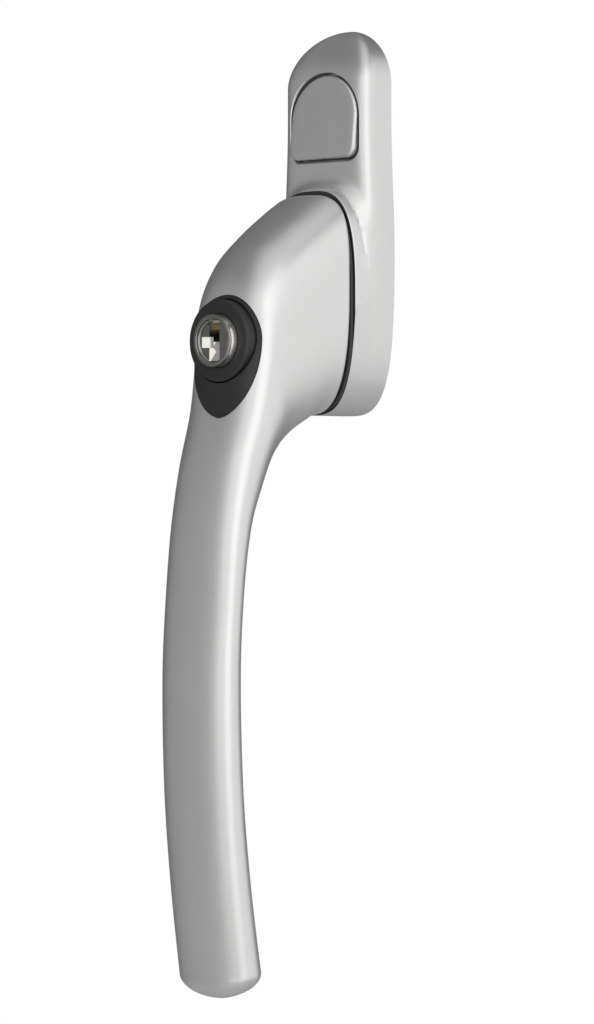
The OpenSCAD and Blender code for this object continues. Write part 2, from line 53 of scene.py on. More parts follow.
class Value:
    """A shader socket that can be used in Python arithmetic."""

    def __init__(self, tree, socket):
        self.tree = tree
        self.socket = socket

    def maths(self, operation, *values):
        sockets = {i: v for i, v in enumerate(values)}
        return node(self.tree, "ShaderNodeMath", {"operation": operation}, sockets).out("Value")

    def __add__(self, other):
        return self.maths("ADD", self, other)

    def __radd__(self, other):
        return self.maths("ADD", other, self)

    def __sub__(self, other):
        return self.maths("SUBTRACT", self, other)

    def __rsub__(self, other):
        return self.maths("SUBTRACT", other, self)

    def __mul__(self, other):
        return self.maths("MULTIPLY", self, other)

    def __rmul__(self, other):
        return self.maths("MULTIPLY", other, self)

    def above(self, edge, width):
        """0 below edge and 1 above it, with a soft step as wide as width."""
        return self.ranged(edge - width / 2, edge + width / 2, 0, 1)

    def ranged(self, low, high, to_low, to_high):
        settings = {"interpolation_type": "SMOOTHSTEP"}
        values = {0: self, 1: low, 2: high, 3: to_low, 4: to_high}
        return node(self.tree, "ShaderNodeMapRange", settings, values).out("Result")


class Made:
    """A shader node just made, to take its outputs from."""

    def __init__(self, tree, made):
        self.tree = tree
        self.made = made

    def out(self, name):
        return Value(self.tree, self.made.outputs[name])


def node(tree, kind, settings, values):
    """Adds a node: its settings first, then a value or a link for each named socket."""
    made = tree.nodes.new(kind)
    for name, value in settings.items():
        setattr(made, name, value)
    for name, value in values.items():
        if isinstance(value, Value):
            tree.links.new(value.socket, made.inputs[name])
        else:
            made.inputs[name].default_value = value
    return Made(tree, made)


def finish(name, plain):
    """A new material with one Principled shader, whose even values are set on its own sockets."""
    made = bpy.data.materials.new(name)
    made.use_nodes = True
    shader = made.node_tree.nodes["Principled BSDF"]
    for socket, value in plain.items():
        shader.inputs[socket].default_value = value
    return made, made.node_tree, shader


def feed(tree, shader, **links):
    for name, value in links.items():
        tree.links.new(value.socket, shader.inputs[name.replace("_", " ")])


def place_on(tree, scale=(1, 1, 1), turn=(0, 0, 0)):
    """The point on the piece, in metres from the spindle's axis, stretched and turned."""
    point = node(tree, "ShaderNodeTexCoord", {}, {}).out("Object")
    values = {"Vector": point, "Scale": scale, "Rotation": turn}
    return node(tree, "ShaderNodeMapping", {}, values).out("Vector")


def noise(tree, where, scale, detail=3, rough=0.5):
    values = {"Vector": where, "Scale": scale, "Detail": detail, "Roughness": rough}
    return node(tree, "ShaderNodeTexNoise", {}, values).out("Fac")


def blend(tree, share, first, second):
    """A colour part of the way from the first to the second."""
    values = {0: share, 6: first, 7: second}
    made = node(tree, "ShaderNodeMix", {"data_type": "RGBA"}, values)
    return Value(tree, made.made.outputs[2])


def bump(tree, height, strength, distance):
    values = {"Height": height, "Strength": strength, "Distance": distance}
    return node(tree, "ShaderNodeBump", {}, values).out("Normal")


def satin_plate(name, shade):
    """Satin plating over a polished casting: a fine brushed grain, a faint orange peel and handling marks."""
    made, tree, shader = finish(name, {"Metallic": 1.0, "Specular IOR Level": 0.5})
    grain = noise(tree, place_on(tree, (1, 1, 0.02)), 5200, 2, 0.6)
    cloud = noise(tree, place_on(tree), 55, 4, 0.55)
    peel = noise(tree, place_on(tree), 900, 2, 0.5)
    smear = noise(tree, place_on(tree, (1, 1, 0.35)), 160, 5, 0.6).above(0.58, 0.3)
    dull = tuple(c * 0.93 for c in shade)
    colour = blend(tree, cloud * 0.6 + grain * 0.4, (*dull, 1), (*shade, 1))
    feed(
        tree,
        shader,
        Base_Color=colour,
        Roughness=0.41 + grain * 0.05 + smear * 0.03,
        Normal=bump(tree, grain * 0.4 + peel * 0.6, 0.12, 0.00004),
    )
    return made


casting_satin = satin_plate("plate_satin", (0.64, 0.64, 0.635))


def ring(mesh, sides, place):
    """A closed loop of edges whose points are put where place says, for an angle."""
    points = bmesh.ops.create_circle(mesh, segments=sides, radius=1)["verts"]
    loop = list({edge for point in points for edge in point.link_edges})
    for point in points:
        point.co = place(math.atan2(point.co.y, point.co.x))
    return loop


def skin(mesh, loops):
    """Joins the loops in turn and closes both ends."""
    for first, second in zip(loops, loops[1:]):
        bmesh.ops.bridge_loops(mesh, edges=first + second)
    bmesh.ops.holes_fill(mesh, edges=loops[0] + loops[-1])
    bmesh.ops.recalc_face_normals(mesh, faces=mesh.faces)
    if mesh.calc_volume(signed=True) < 0:
        bmesh.ops.reverse_faces(mesh, faces=mesh.faces)


def piece(name, mesh, crease=32):
    """An object from the mesh, smooth except where its faces meet at more than the crease angle."""
    for face in mesh.faces:
        face.smooth = True
    for edge in mesh.edges:
        edge.smooth = len(edge.link_faces) == 2 and edge.calc_face_angle(0) < math.radians(crease)
    data = bpy.data.meshes.new(name)
    mesh.to_mesh(data)
    mesh.free()
    made = bpy.data.objects.new(name, data)
    bpy.context.scene.collection.objects.link(made)
    return made


def combine(target, tools, operation="DIFFERENCE"):
    """Cuts the tools out of the target, or adds them to it, and takes the tools away."""
    for tool in tools:
        change = target.modifiers.new("change", "BOOLEAN")
        change.operation = operation
        change.solver = "EXACT"
        change.object = tool
    bpy.context.view_layer.update()
    shaped = target.evaluated_get(bpy.context.evaluated_depsgraph_get())
    mesh = bmesh.new()
    mesh.from_mesh(bpy.data.meshes.new_from_object(shaped))
    bmesh.ops.remove_doubles(mesh, verts=mesh.verts, dist=0.000002)
    bmesh.ops.dissolve_degenerate(mesh, edges=mesh.edges, dist=0.000002)
    name = target.name
    for thing in [target, *tools]:
        bpy.data.objects.remove(thing)
    return piece(name, mesh)


def turned(name, profile, x=0.0, z=0.0, sides=64):
    """A solid turned about an axis along Y: the profile is pairs of depth and radius, from back to front."""
    mesh = bmesh.new()
    loops = []
    for depth, radius in profile:
        def place(a, d=depth, r=radius):
            return x + r * math.cos(a), -d, z + r * math.sin(a)
        loops.append(ring(mesh, sides, place))
    skin(mesh, loops)
    return piece(name, mesh)


def block(name, low, high):
    mesh = bmesh.new()
    bmesh.ops.create_cube(mesh, size=1)
    size = Vector(high) - Vector(low)
    bmesh.ops.scale(mesh, vec=size, verts=mesh.verts)
    bmesh.ops.translate(mesh, vec=(Vector(high) + Vector(low)) / 2, verts=mesh.verts)
    return piece(name, mesh)


def squircle(angle, n):
    """Point of a rounded square two units across, in the direction of the angle."""
    c, s = math.cos(angle), math.sin(angle)
    r = (abs(c) ** n + abs(s) ** n) ** (-1 / n)
    return r * c, r * s


plate_low, plate_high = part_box("base_plate")
foot_low, foot_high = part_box("wear_plate")
boss_depth = -plate_low.y
plate_depth = 7.2 * mm
foot_inset = 0.4 * mm
boss_half_wide = foot_high.x + foot_inset
boss_top = foot_high.z + foot_inset
boss_mid = (boss_top + plate_low.z) / 2
boss_half = (boss_top - plate_low.z) / 2
boss_square = 3
nose_radius = 10.6 * mm
nose_height = plate_high.z - nose_radius
flare = 3.2 * mm
boss_edge = 0.4 * mm
boss_root = 0.4
boss_rim = 0.6 * mm


def plate_side(z):
    """Half width of the plate at a height: a round nose, sides that bow out, a squarish lower end."""
    bow = 0.85 * mm * max(0, math.cos(math.radians(90 * (z - boss_mid / 4) / (27 * mm)))) ** 2
    if z > nose_height:
        return math.sqrt(max(0, nose_radius**2 - (z - nose_height) ** 2))
    if z < boss_mid:
        down = (boss_mid - z) / boss_half
        return (nose_radius + bow) * max(0, 1 - down**boss_square) ** (1 / boss_square)
    return nose_radius + bow


def boss_cove(x, z):
    """How far the plate's face has risen toward the boss, on a hollow curve round the boss."""
    along = max(0, z - boss_mid) / (boss_half + boss_rim)
    reach = ((abs(x) / boss_half_wide) ** boss_square + along**boss_square) ** (1 / boss_square)
    near = 1 - (reach - 1) * boss_half / flare
    return min(boss_root, 1 - math.sqrt(1 - max(0, min(1, near)) ** 2))


def plate_point(z, angle):
    across, out = squircle(angle, 9)
    x = plate_side(z) * across
    rise = max(0, (z - nose_height) / nose_radius)
    fall = max(0, 1 - rise**1.6) ** (1 / 1.6)
    depth = plate_depth + (boss_depth - plate_depth) * boss_cove(x, z)
    return x, -fall * max(0, out) * depth, z


plate_mid = (plate_low.z + plate_high.z) / 2
plate_half = (plate_high.z - plate_low.z) / 2
plate_rows = 220
mesh = bmesh.new()
rows = []
for row in range(plate_rows + 1):
    z = plate_mid + plate_half * math.sin(math.radians(-88.5 + 177 * row / plate_rows))
    rows.append(ring(mesh, 144, lambda a, z=z: plate_point(z, a)))
skin(mesh, rows)
plate_shell = piece("base_plate_casting", mesh)


def outline_prism(name, inset, back, front):
    """A prism with the plate's outline, drawn in by the inset all round."""
    mesh = bmesh.new()

    def place(a, depth):
        z = plate_mid + (plate_half - inset) * math.sin(a)
        round_end = math.sqrt(max(0, (nose_radius - inset) ** 2 - (z - nose_height) ** 2))
        side = round_end if z > nose_height else max(0.5 * mm, plate_side(z) - inset)
        return math.copysign(side, math.cos(a)), -depth, z

    skin(mesh, [ring(mesh, 201, lambda a, d=depth: place(a, d)) for depth in (back, front)])
    return piece(name, mesh)


def boss_ring(mesh, grow, depth):
    def place(angle):
        across, along = squircle(angle, boss_square)
        return (boss_half_wide + grow) * across, -depth, boss_mid + (boss_half + boss_rim + grow) * along
    return ring(mesh, 176, place)


mesh = bmesh.new()
loops = [boss_ring(mesh, 0, plate_depth - 1.5 * mm)]
for step in range(5):
    turn = math.radians(22.5 * step)
    inset, back = boss_edge * (1 - math.cos(turn)), boss_edge * (1 - math.sin(turn))
    loops.append(boss_ring(mesh, -inset, boss_depth - back))
skin(mesh, loops)
boss_limit = outline_prism("boss_limit", 0, 0.5 * mm, boss_depth + past)
boss = combine(piece("boss", mesh), [boss_limit], "INTERSECT")
plate_shell = combine(plate_shell, [boss], "UNION")

cover_low, cover_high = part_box("screw_cover")
cover_half = cover_high.x
cover_bottom = cover_low.z
cover_arch = cover_high.z - cover_half
cover_corner = 2 * mm
cover_floor = 4 * mm


def arch_point(angle, grow):
    """Point of an arched outline with small corners below, grown or drawn in."""
    half = cover_half + grow
    low = cover_bottom - grow
    corner = cover_corner + grow
    c, s = math.cos(angle), math.sin(angle)
    if s >= 0:
        return half * c, cover_arch + half * s
    sink = cover_arch - low
    along = min(half / max(abs(c), 1e-9), sink / abs(s))
    x, z = along * c, cover_arch + along * s
    over_x, over_z = abs(x) - (half - corner), (low + corner) - z
    if over_x > 0 and over_z > 0:
        far = math.hypot(over_x, over_z)
        x = math.copysign(half - corner + corner * over_x / far, x)
        z = low + corner - corner * over_z / far
    return x, z


def arch_tool(name, profile, sides=160):
    mesh = bmesh.new()
    loops = []
    for depth, grow in profile:
        def place(a, d=depth, g=grow):
            x, z = arch_point(a, g)
            return x, -d, z
        loops.append(ring(mesh, sides, place))
    skin(mesh, loops)
    return piece(name, mesh)


cover_gap = 0.45 * mm
chamfer = 0.3 * mm
cover_pocket = arch_tool(
    "cover_pocket",
    [
        (cover_floor, cover_gap),
        (plate_depth - chamfer, cover_gap),
        (plate_depth + chamfer, cover_gap + 2 * chamfer),
        (plate_depth + 3 * mm, cover_gap + 2 * chamfer),
    ],
)
back_depth = -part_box("rear_cover")[0].y
rim = 1.3 * mm
back_pocket = outline_prism("back_pocket", rim, -past, back_depth)

screw_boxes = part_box("fixing_screws")
screw_height = 21.5 * mm
head_radius = screw_boxes[1].x
head_thick = head_radius - 2.5 * mm + 0.4 * mm
low_seat = boss_depth - 1.4 * mm
bore = 2.6 * mm
hub_radius, hub_depth = 8.6 * mm, 8 * mm
bush_radius = 7.62 * mm
tools = [
    cover_pocket,
    back_pocket,
    turned("hub_bore", [(-past, hub_radius), (hub_depth, hub_radius)], sides=96),
    turned("bush_bore", [(hub_depth - past, bush_radius), (boss_depth + past, bush_radius)], sides=96),
    turned(
        "upper_screw_hole",
        [
            (-past, bore),
            (cover_floor - head_thick, bore),
            (cover_floor + 0.01 * mm, head_radius + 0.1 * mm),
            (cover_floor + past, head_radius + 0.1 * mm),
        ],
        z=screw_height,
    ),
    turned(
        "lower_screw_hole",
        [
            (-past, bore),
            (low_seat - head_thick, bore),
            (low_seat, head_radius + 0.2 * mm),
            (boss_depth - chamfer, head_radius + 0.2 * mm),
            (boss_depth + chamfer, head_radius + 0.2 * mm + 2 * chamfer),
        ],
        z=-screw_height,
    ),
]
bolt_low, bolt_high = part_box("lock_bolt")
bolt_height = (bolt_low.z + bolt_high.z) / 2
bolt_bore = bolt_high.x + 0.2 * mm
bolt_reach = 3.2 * mm
strike_low, strike_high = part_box("strike_plate")
strike_seat = Vector((0.05, 0.05, 0.05)) * mm
tools += [
    block("strike_pocket", strike_low - strike_seat - Vector((0, past, 0)), strike_high + strike_seat),
    turned(
        "bolt_hole",
        [(boss_depth - bolt_reach, bolt_bore), (boss_depth + past, bolt_bore)],
        z=bolt_height,
    ),
]
plate_shell = combine(plate_shell, tools)
plate_shell.data.materials.append(casting_satin)
# The boss's front face is painted near black: painted shade for the dark crevice round the neck's foot.
boss_painted_shade = satin_plate("boss_face_painted_shade", (0.07, 0.07, 0.07))
plate_shell.data.materials.append(boss_painted_shade)
for face in plate_shell.data.polygons:
    face.material_index = int(-face.center.y > boss_depth - 0.08 * mm)
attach(plate_shell, "base")
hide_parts("base_plate")

# Screw cover: a small arched cap, cast and plated like the plate. It drops into the plate's recess,
# flush above and proud below, its face leaning back a little, with a soft edge all round.

cap_top, cap_bottom = 6.6 * mm, -cover_low.y
cap_edge = 0.55 * mm


def cap_face(z):
    share = (z - cover_bottom) / (cover_high.z - cover_bottom)
    return cap_bottom + (cap_top - cap_bottom) * share


mesh = bmesh.new()
loops = []
steps = 6


def cap_ring(grow, back, floor=None):
    def place(a):
        x, z = arch_point(a, grow)
        return x, -(floor if floor is not None else cap_face(z) - back), z
    return ring(mesh, 176, place)


loops.append(cap_ring(0, 0, cover_floor + 0.1 * mm))
for step in range(steps + 1):
    turn = math.radians(90 * step / steps)
    loops.append(cap_ring(-cap_edge * (1 - math.cos(turn)), cap_edge * (1 - math.sin(turn))))
loops.append(cap_ring(-cap_edge - 1.2 * mm, -0.02 * mm))
loops.append(cap_ring(-cap_edge - 1.38 * mm, -0.02 * mm))
skin(mesh, loops)
cap = piece("screw_cover_cap", mesh)
legs = [
    block(
        f"leg_{side}",
        (side * 6.9 * mm - 0.6 * mm, -5.5 * mm, cover_arch - 2.5 * mm),
        (side * 6.9 * mm + 0.6 * mm, -1.7 * mm, cover_arch + 2.5 * mm),
    )
    for side in (-1, 1)
]
cap = combine(cap, legs, "UNION")
cap_satin = satin_plate("cap_satin", (0.60, 0.60, 0.595))
cap.data.materials.append(cap_satin)
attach(cap, "cover")
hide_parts("screw_cover")

# Lever: one casting from the oval foot, up the curved neck that holds the lock, and down the long
# bowed grip to its rounded tip. Its face is a shallow dome and its back is flatter.

lever_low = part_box("handle_lever")[0]
lock_low, lock_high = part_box("key_plug")
lock_height = (lock_low.z + lock_high.z) / 2
neck_back = -foot_low.y + 0.2 * mm
lever_length = -lever_low.z
crest = -lever_low.y
lever_half = 8.8 * mm
grip_thick = 7.5 * mm
grip_back = crest - grip_thick
neck_face = 33.2 * mm
neck_low = plate_low.z

# Each station is the front line's depth and height, the back line's depth and height, the half
# width and how square the section is, from the foot to the tip.
stations = [
    (
        neck_back, boss_top, neck_back, neck_low,
        boss_half_wide, 3,
    ),
    (
        neck_back + 4.7 * mm, boss_top - 2.8 * mm, neck_back + 2.7 * mm, neck_low - 0.4 * mm,
        boss_half_wide - 0.2 * mm, 3,
    ),
    (
        neck_back + 11.2 * mm, boss_top - 7.1 * mm, neck_back + 5.2 * mm, neck_low - 1.7 * mm,
        boss_half_wide - 0.5 * mm, 2.9,
    ),
    (
        neck_back + 17.4 * mm, boss_top - 12.3 * mm, neck_back + 7.7 * mm, neck_low - 3.1 * mm,
        boss_half_wide - 0.9 * mm, 2.8,
    ),
    (
        neck_face - 0.2 * mm, lock_height + 8.7 * mm, neck_back + 10.2 * mm, neck_low - 4.7 * mm,
        boss_half_wide - 1.3 * mm, 2.8,
    ),
    (
        neck_face + 0.8 * mm, lock_height - 1.2 * mm, neck_back + 12.9 * mm, neck_low - 6.8 * mm,
        lever_half + 0.9 * mm, 2.7,
    ),
    (
        neck_face + 2.3 * mm, lock_height - 11.3 * mm, neck_back + 15.7 * mm, neck_low - 10.1 * mm,
        lever_half + 0.5 * mm, 2.6,
    ),
    (
        crest - 4.4 * mm, lock_height - 21.9 * mm, grip_back - 5.8 * mm, neck_low - 14.6 * mm,
        lever_half + 0.2 * mm, 2.6,
    ),
    (
        crest - 2.2 * mm, lock_height - 33.4 * mm, grip_back - 2.9 * mm, lock_height - 34.8 * mm,
        lever_half, 2.6,
    ),
    (
        crest - 0.9 * mm, -0.47 * lever_length, grip_back - 0.8 * mm, -0.47 * lever_length,
        lever_half, 2.6,
    ),
    (
        crest, -0.58 * lever_length, grip_back, -0.58 * lever_length,
        lever_half, 2.6,
    ),
    (
        crest - 0.4 * mm, -0.725 * lever_length, grip_back - 0.8 * mm, -0.725 * lever_length,
        lever_half, 2.6,
    ),
    (
        crest - 2 * mm, -0.855 * lever_length, grip_back - 2.9 * mm, -0.85 * lever_length,
        lever_half, 2.6,
    ),
    (
        crest - 4.2 * mm, 4 * mm - lever_length, grip_back - 5.7 * mm, 5 * mm - lever_length,
        lever_half, 2.6,
    ),
]


def station(t):
    """The stations' values part of the way along, on a smooth curve through them."""
    i = min(int(t), len(stations) - 2)
    f = t - i
    four = [stations[max(0, min(len(stations) - 1, i + k))] for k in (-1, 0, 1, 2)]
    return [
        b + f / 2 * (c - a + f * (2 * a - 5 * b + 4 * c - d + f * (3 * (b - c) + d - a)))
        for a, b, c, d in zip(*four)
    ]


ridge = 0.2


def lever_ring(mesh, s, wide, thick, drop):
    def place(angle):
        across, up = squircle(angle, s[5])
        lift = thick * (up + ridge * (1 - up * up)) / 2
        y = (s[0] + s[2]) / 2 + lift * (s[0] - s[2])
        z = (s[1] + s[3]) / 2 + lift * (s[1] - s[3]) - drop
        return wide * s[4] * across, -y, z
    return ring(mesh, 128, place)


mesh = bmesh.new()
lever_rows = 190
tip = 4.5 * mm
last = len(stations) - 1
foot_edge, foot_share = 0.9 * mm, 0.3
loops = []
for step in range(7):
    turn = math.radians(15 * step)
    inset = foot_edge * (1 - math.sin(turn))
    wide, thick = 1 - inset / boss_half_wide, 1 - inset / boss_half
    loops.append(lever_ring(mesh, station(foot_share * (1 - math.cos(turn))), wide, thick, 0))
first_row = 5
for row in range(first_row, lever_rows + 1):
    loops.append(lever_ring(mesh, station(row * last / lever_rows), 1, 1, 0))
tip_rows = 22
for row in range(1, tip_rows + 1):
    q = math.sin(math.radians(90 * row / tip_rows))
    wide, thick = (1.002 - q**1.8) ** 0.6, (1.004 - q**2.5) ** 0.5
    loops.append(lever_ring(mesh, stations[last], wide, thick, tip * q))
skin(mesh, loops)
dome = mesh.copy()
lever = piece("lever_casting", mesh)

button_low, button_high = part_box("push_button")
button_radius = button_high.x
housing_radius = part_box("lock_housing")[1].x
surround_low, surround_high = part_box("lock_escutcheon")
surround_radius = surround_high.x
surround_drop = lock_height - surround_low.z
surround_back = -surround_high.y
surround_lean = 0.9 * mm


def drop_point(angle, grow):
    """Point of a drop outline: a half circle above, drawn out to a point below."""
    radius, down = surround_radius + grow, surround_drop + grow
    c, s = math.cos(angle), math.sin(angle)
    if s >= 0:
        return radius * c, lock_height + radius * s
    v = abs(math.sin(angle))
    side = math.copysign(radius * max(0, 1 - v**2.4) ** 0.6, c)
    return side + surround_lean * v * v, lock_height - down * v


def drop_ring(mesh, grow, depth):
    def place(angle):
        x, z = drop_point(angle, grow)
        return x, -depth, z
    return ring(mesh, 160, place)


mesh = bmesh.new()
seat_gap = 0.1 * mm
depths = (surround_back - 0.02 * mm, crest + past)
skin(mesh, [drop_ring(mesh, seat_gap, depth) for depth in depths])
surround_pocket = piece("surround_pocket", mesh)
lock_bore = housing_radius + 0.02 * mm
lock_floor = neck_back + 3 * mm
lever = combine(
    lever,
    [
        surround_pocket,
        turned("bolt_way", [(neck_back - past, bolt_bore), (lock_floor + past, bolt_bore)], z=bolt_height),
        turned("lock_bore", [(lock_floor, lock_bore), (crest, lock_bore)], z=lock_height, sides=96),
    ],
)
stub_radius, stub_end = 6.3 * mm, 1.8 * mm
stub = turned("stub", [(stub_end, stub_radius), (neck_back + past, stub_radius)], sides=96)
lever = combine(lever, [stub], "UNION")
socket_half, socket_end = 3.55 * mm, 18 * mm
socket = block("socket", (-socket_half, -socket_end, -socket_half), (socket_half, 0, socket_half))
lever = combine(lever, [socket])
lever_satin = satin_plate("lever_satin", (0.66, 0.66, 0.655))
lever.data.materials.append(lever_satin)
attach(lever, "handle")
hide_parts("handle_lever")

# Lock surround: a black moulded drop let into the lever's face and bored for the push button. It
# follows the face's dome, stands a little above it, and is drawn out to a soft point below.


def black_moulding(name, spark):
    """Black moulded plastic: an even colour, a fine spark-eroded texture and slightly worn places."""
    made, tree, shader = finish(name, {"Specular IOR Level": 0.5, "IOR": 1.5})
    texture = noise(tree, place_on(tree), spark, 3, 0.6)
    wear = noise(tree, place_on(tree), 130, 4, 0.6).above(0.55, 0.25)
    colour = blend(tree, wear, (0.007, 0.007, 0.0072, 1), (0.012, 0.012, 0.0124, 1))
    rough = 0.42 + texture * 0.12 - wear * 0.08
    feed(tree, shader, Base_Color=colour, Roughness=rough, Normal=bump(tree, texture, 0.18, 0.00003))
    return made


proud = 0.3 * mm
mesh = bmesh.new()
skin(mesh, [drop_ring(mesh, 0, surround_back), drop_ring(mesh, 0, crest + past)])
surround = piece("lock_surround", mesh)
bmesh.ops.translate(dome, vec=(0, -proud, 0), verts=dome.verts)
surround = combine(surround, [piece("surround_dome", dome)], "INTERSECT")
head_radius_bore = button_radius + 0.2 * mm
profile = [(surround_back - past, head_radius_bore), (crest, head_radius_bore)]
surround = combine(surround, [turned("button_bore", profile, z=lock_height, sides=96)])
surround.data.materials.append(black_moulding("surround_black", 4200))
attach(surround, "handle")
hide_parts("lock_escutcheon")

# Push button: a black moulded barrel with a wider head, which slides in the neck against its spring.
# The head's rim is softly rounded, and its bore holds the key plug.

button_front = -button_low.y
button_back = -button_high.y
barrel = 7 * mm
head_back = 31.6 * mm
plug_radius = lock_high.x
plug_front = -lock_low.y
head_round = 0.5 * mm
profile = [(button_back, barrel), (head_back, barrel), (head_back + 0.1 * mm, button_radius)]
for step in range(7):
    turn = math.radians(90 * step / 6)
    back, inset = head_round * (1 - math.sin(turn)), head_round * (1 - math.cos(turn))
    profile.append((button_front - back, button_radius - inset))
button = turned("push_button_barrel", profile, z=lock_height, sides=112)
plug_bore = plug_radius + 0.05 * mm
pawl_low, pawl_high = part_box("locking_pawl")
tongue_half = 1.3 * mm
cavity, cavity_end = 6.1 * mm, 24.8 * mm
button = combine(
    button,
    [
        turned(
            "plug_bore",
            [
                (cavity_end - 0.2 * mm, plug_bore),
                (button_front - 0.2 * mm, plug_bore),
                (button_front + 0.2 * mm, plug_bore + 0.4 * mm),
                (button_front + past, plug_bore + 0.4 * mm),
            ],
            z=lock_height,
            sides=96,
        ),
        block(
            "pawl_slot",
            (-tongue_half, pawl_low.y - 0.1 * mm, pawl_low.z - past),
            (tongue_half, pawl_high.y + 0.1 * mm, lock_height),
        ),
        turned(
            "button_cavity",
            [(button_back - past, cavity), (cavity_end, cavity)],
            z=lock_height,
            sides=96,
        ),
    ],
)
button.data.materials.append(black_moulding("button_black", 3600))
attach(button, "lock_button")
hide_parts("push_button")

# Key plug: a nickel plated barrel that stands out of the button, its face hollowed like a dish. Its
# front end, rim and dish are given a dark copy of the nickel as painted shade. The keyway runs down the
# dish, deep above and ramped below, with a ledge at its top and a notch for the key's shoulder on the left.

dish_deep, dish_wall = 0.8 * mm, 0.9 * mm
profile = [
    (24.3 * mm, plug_radius),
    (plug_front - 0.35 * mm, plug_radius),
    (plug_front - 0.1 * mm, plug_radius - 0.12 * mm),
    (plug_front, plug_radius - 0.35 * mm),
]
plug = turned("key_plug_barrel", profile, z=lock_height, sides=112)
dish_radius = plug_radius - dish_wall
dish = turned(
    "dish",
    [
        (plug_front - dish_deep, dish_radius - 0.25 * mm),
        (plug_front - dish_deep + 0.25 * mm, dish_radius),
        (plug_front - 0.1 * mm, dish_radius),
        (plug_front + 0.1 * mm, dish_radius + 0.2 * mm),
        (plug_front + past, dish_radius + 0.2 * mm),
    ],
    z=lock_height,
    sides=96,
)
slot_half, slot_tall = 1.3 * mm, 3.8 * mm
dish_floor = plug_front - dish_deep
slot_end = 26 * mm
keyway = [
    block(
        "keyway",
        (-slot_half, -plug_front, lock_height - 0.2 * mm),
        (slot_half, -slot_end, lock_height + slot_tall - 0.5 * mm),
    ),
    block(
        "ward",
        (-slot_half - 1.9 * mm, -plug_front, lock_height - 1.3 * mm),
        (0, -dish_floor + 1.1 * mm, lock_height + 0.7 * mm),
    ),
]
mesh = bmesh.new()
bmesh.ops.create_cube(mesh, size=1)
bmesh.ops.scale(mesh, vec=(2 * slot_half, 3 * mm, slot_tall), verts=mesh.verts)
bmesh.ops.translate(mesh, vec=(0, -dish_floor, lock_height - slot_tall / 2 + 0.1 * mm), verts=mesh.verts)
for corner in mesh.verts:
    if corner.co.y > -dish_floor and corner.co.z < lock_height - 1 * mm:
        corner.co.y = -dish_floor + 0.15 * mm
keyway.append(piece("ramp", mesh))
mesh = bmesh.new()
bmesh.ops.create_cube(mesh, size=1)
bmesh.ops.scale(mesh, vec=(2.6 * slot_half, 1.6 * mm, 0.8 * mm), verts=mesh.verts)
bmesh.ops.translate(mesh, vec=(0, -dish_floor, lock_height + slot_tall - 0.5 * mm), verts=mesh.verts)
for corner in mesh.verts:
    if corner.co.y > -dish_floor and corner.co.z > lock_height + slot_tall - 0.5 * mm:
        corner.co.y = -dish_floor + 0.1 * mm
keyway.append(piece("ledge", mesh))
plug = combine(plug, [dish])
plug = combine(plug, keyway)


def plated(name, shade, base_rough):
    """Bright plating over a turned surface: fine rings, tiny scratches and a little dulling."""
    made, tree, shader = finish(name, {"Metallic": 1.0, "Specular IOR Level": 0.5})
    scratch = noise(tree, place_on(tree, (1, 0.15, 1), (0, 0.5, 0)), 2600, 4, 0.65)
    cloud = noise(tree, place_on(tree), 420, 3, 0.5)
    dull = tuple(c * 0.88 for c in shade)
    colour = blend(tree, cloud, (*dull, 1), (*shade, 1))
    feed(
        tree,
        shader,
        Base_Color=colour,
        Roughness=base_rough + scratch * 0.08 + cloud * 0.05,
        Normal=bump(tree, scratch, 0.1, 0.00002),
    )
    return made


plug_nickel = plated("plug_nickel", (0.80, 0.79, 0.76), 0.16)
plug.data.materials.append(plug_nickel)
# The plug's front end, rim, dish walls and floor get a dark copy of the nickel: painted shade.
plug.data.materials.append(plated("plug_face_painted_shade", (0.25, 0.25, 0.24), 0.2))
for face in plug.data.polygons:
    face.material_index = int(-face.center.y > dish_floor - 0.02 * mm)
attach(plug, "key_plug")
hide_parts("key_plug")

# Wear plate: the thin black plastic disc between the boss and the neck's foot, which shows as the
# dark line round the neck.


def wear(name, shade):
    made, tree, shader = finish(name, {"IOR": 1.5})
    grain = noise(tree, place_on(tree), 2400, 3, 0.6)
    colour = blend(tree, grain, (*(c * 0.7 for c in shade), 1), (*shade, 1))
    relief = bump(tree, grain, 0.15, 0.00003)
    feed(tree, shader, Base_Color=colour, Roughness=0.5 + grain * 0.15, Normal=relief)
    return made


def dress(material, *names):
    """Gives carried-over nodes a material in place of their plain one."""
    for name in names:
        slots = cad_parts[name].data.materials
        slots.clear()
        slots.append(material)


dress(wear("wear_black", (0.02, 0.02, 0.02)), "wear_plate")

# Bush: white nylon, moulded, pressed into the boss. The lever's stub turns in it.

dress(wear("bush_nylon", (0.82, 0.82, 0.78)), "hub_bush")

# Spindle, cover, screws and pin: plain steel with a bright zinc plating, which is a little cloudy,
# with faint drawing marks along the bar.


def zinc(name, shade, draw):
    made, tree, shader = finish(name, {"Metallic": 1.0, "Specular IOR Level": 0.5})
    marks = noise(tree, place_on(tree, draw), 1500, 4, 0.6)
    bloom = noise(tree, place_on(tree), 240, 5, 0.6)
    cold, warm = shade, (shade[0] * 1.0, shade[1] * 0.97, shade[2] * 0.9)
    colour = blend(tree, bloom.above(0.52, 0.25), (*cold, 1), (*(c * 0.95 for c in warm), 1))
    feed(
        tree,
        shader,
        Base_Color=colour,
        Roughness=0.27 + marks * 0.12 + bloom * 0.08,
        Normal=bump(tree, marks, 0.2, 0.00003),
    )
    return made


dress(zinc("spindle_zinc", (0.66, 0.67, 0.69), (1, 0.04, 1)), "spindle")
dress(zinc("cover_zinc", (0.62, 0.63, 0.65), (1, 1, 0.05)), "rear_cover")
screw_zinc = zinc("screw_zinc", (0.70, 0.70, 0.70), (1, 1, 1))
dress(screw_zinc, "fixing_screws", "cover_screws", "housing_screw", "strike_rivets")

# Springs, detent balls, ring, clips and lock parts: hardened steel left plain and oiled.


